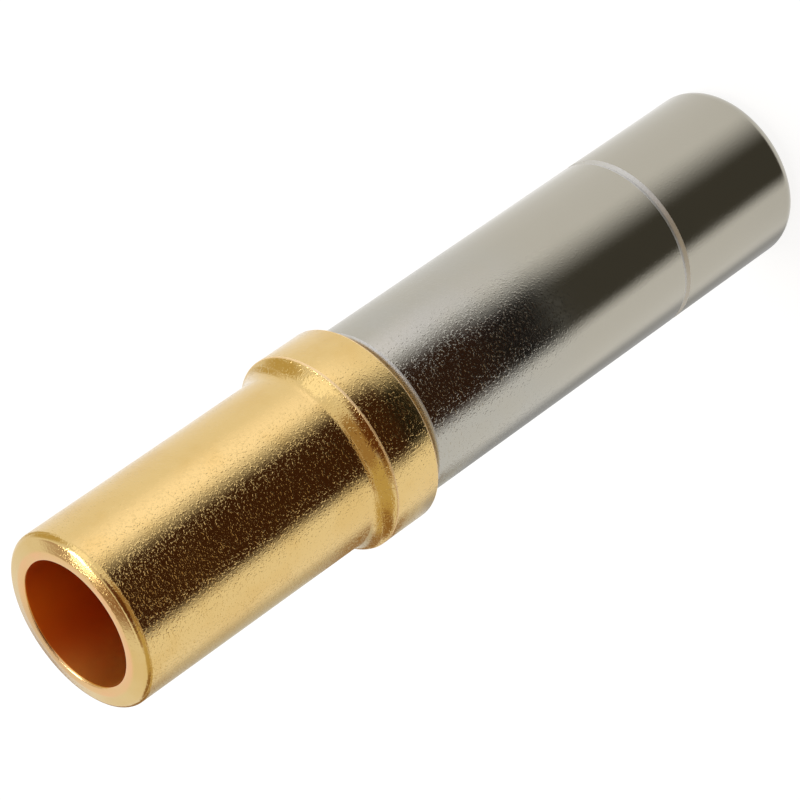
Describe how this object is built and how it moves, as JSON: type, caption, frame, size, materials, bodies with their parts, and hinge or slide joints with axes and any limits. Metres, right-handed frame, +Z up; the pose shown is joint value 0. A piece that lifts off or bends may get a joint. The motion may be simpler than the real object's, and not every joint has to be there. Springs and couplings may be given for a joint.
{
  "type": "socket crimp contact",
  "caption": "Turned socket contact with an open crimp barrel, a raised collar and a steel hood over slotted spring tines.",
  "frame": {"origin": "centre of the hood's nose, on the surface that the contact stands on", "axes": "+Z up the contact's axis, from the mating end to the mouth of the crimp barrel; +Y towards the inspection hole"},
  "size_m": [0.0072, 0.0072, 0.0314],
  "materials": {
    "gold_plating": "fine matt gold plating on turned copper alloy",
    "steel": "satin passivated stainless steel"
  },
  "bodies": {
    "root": {"contact_body": "gold_plating", "hood": "steel"}
  },
  "joints": []
}
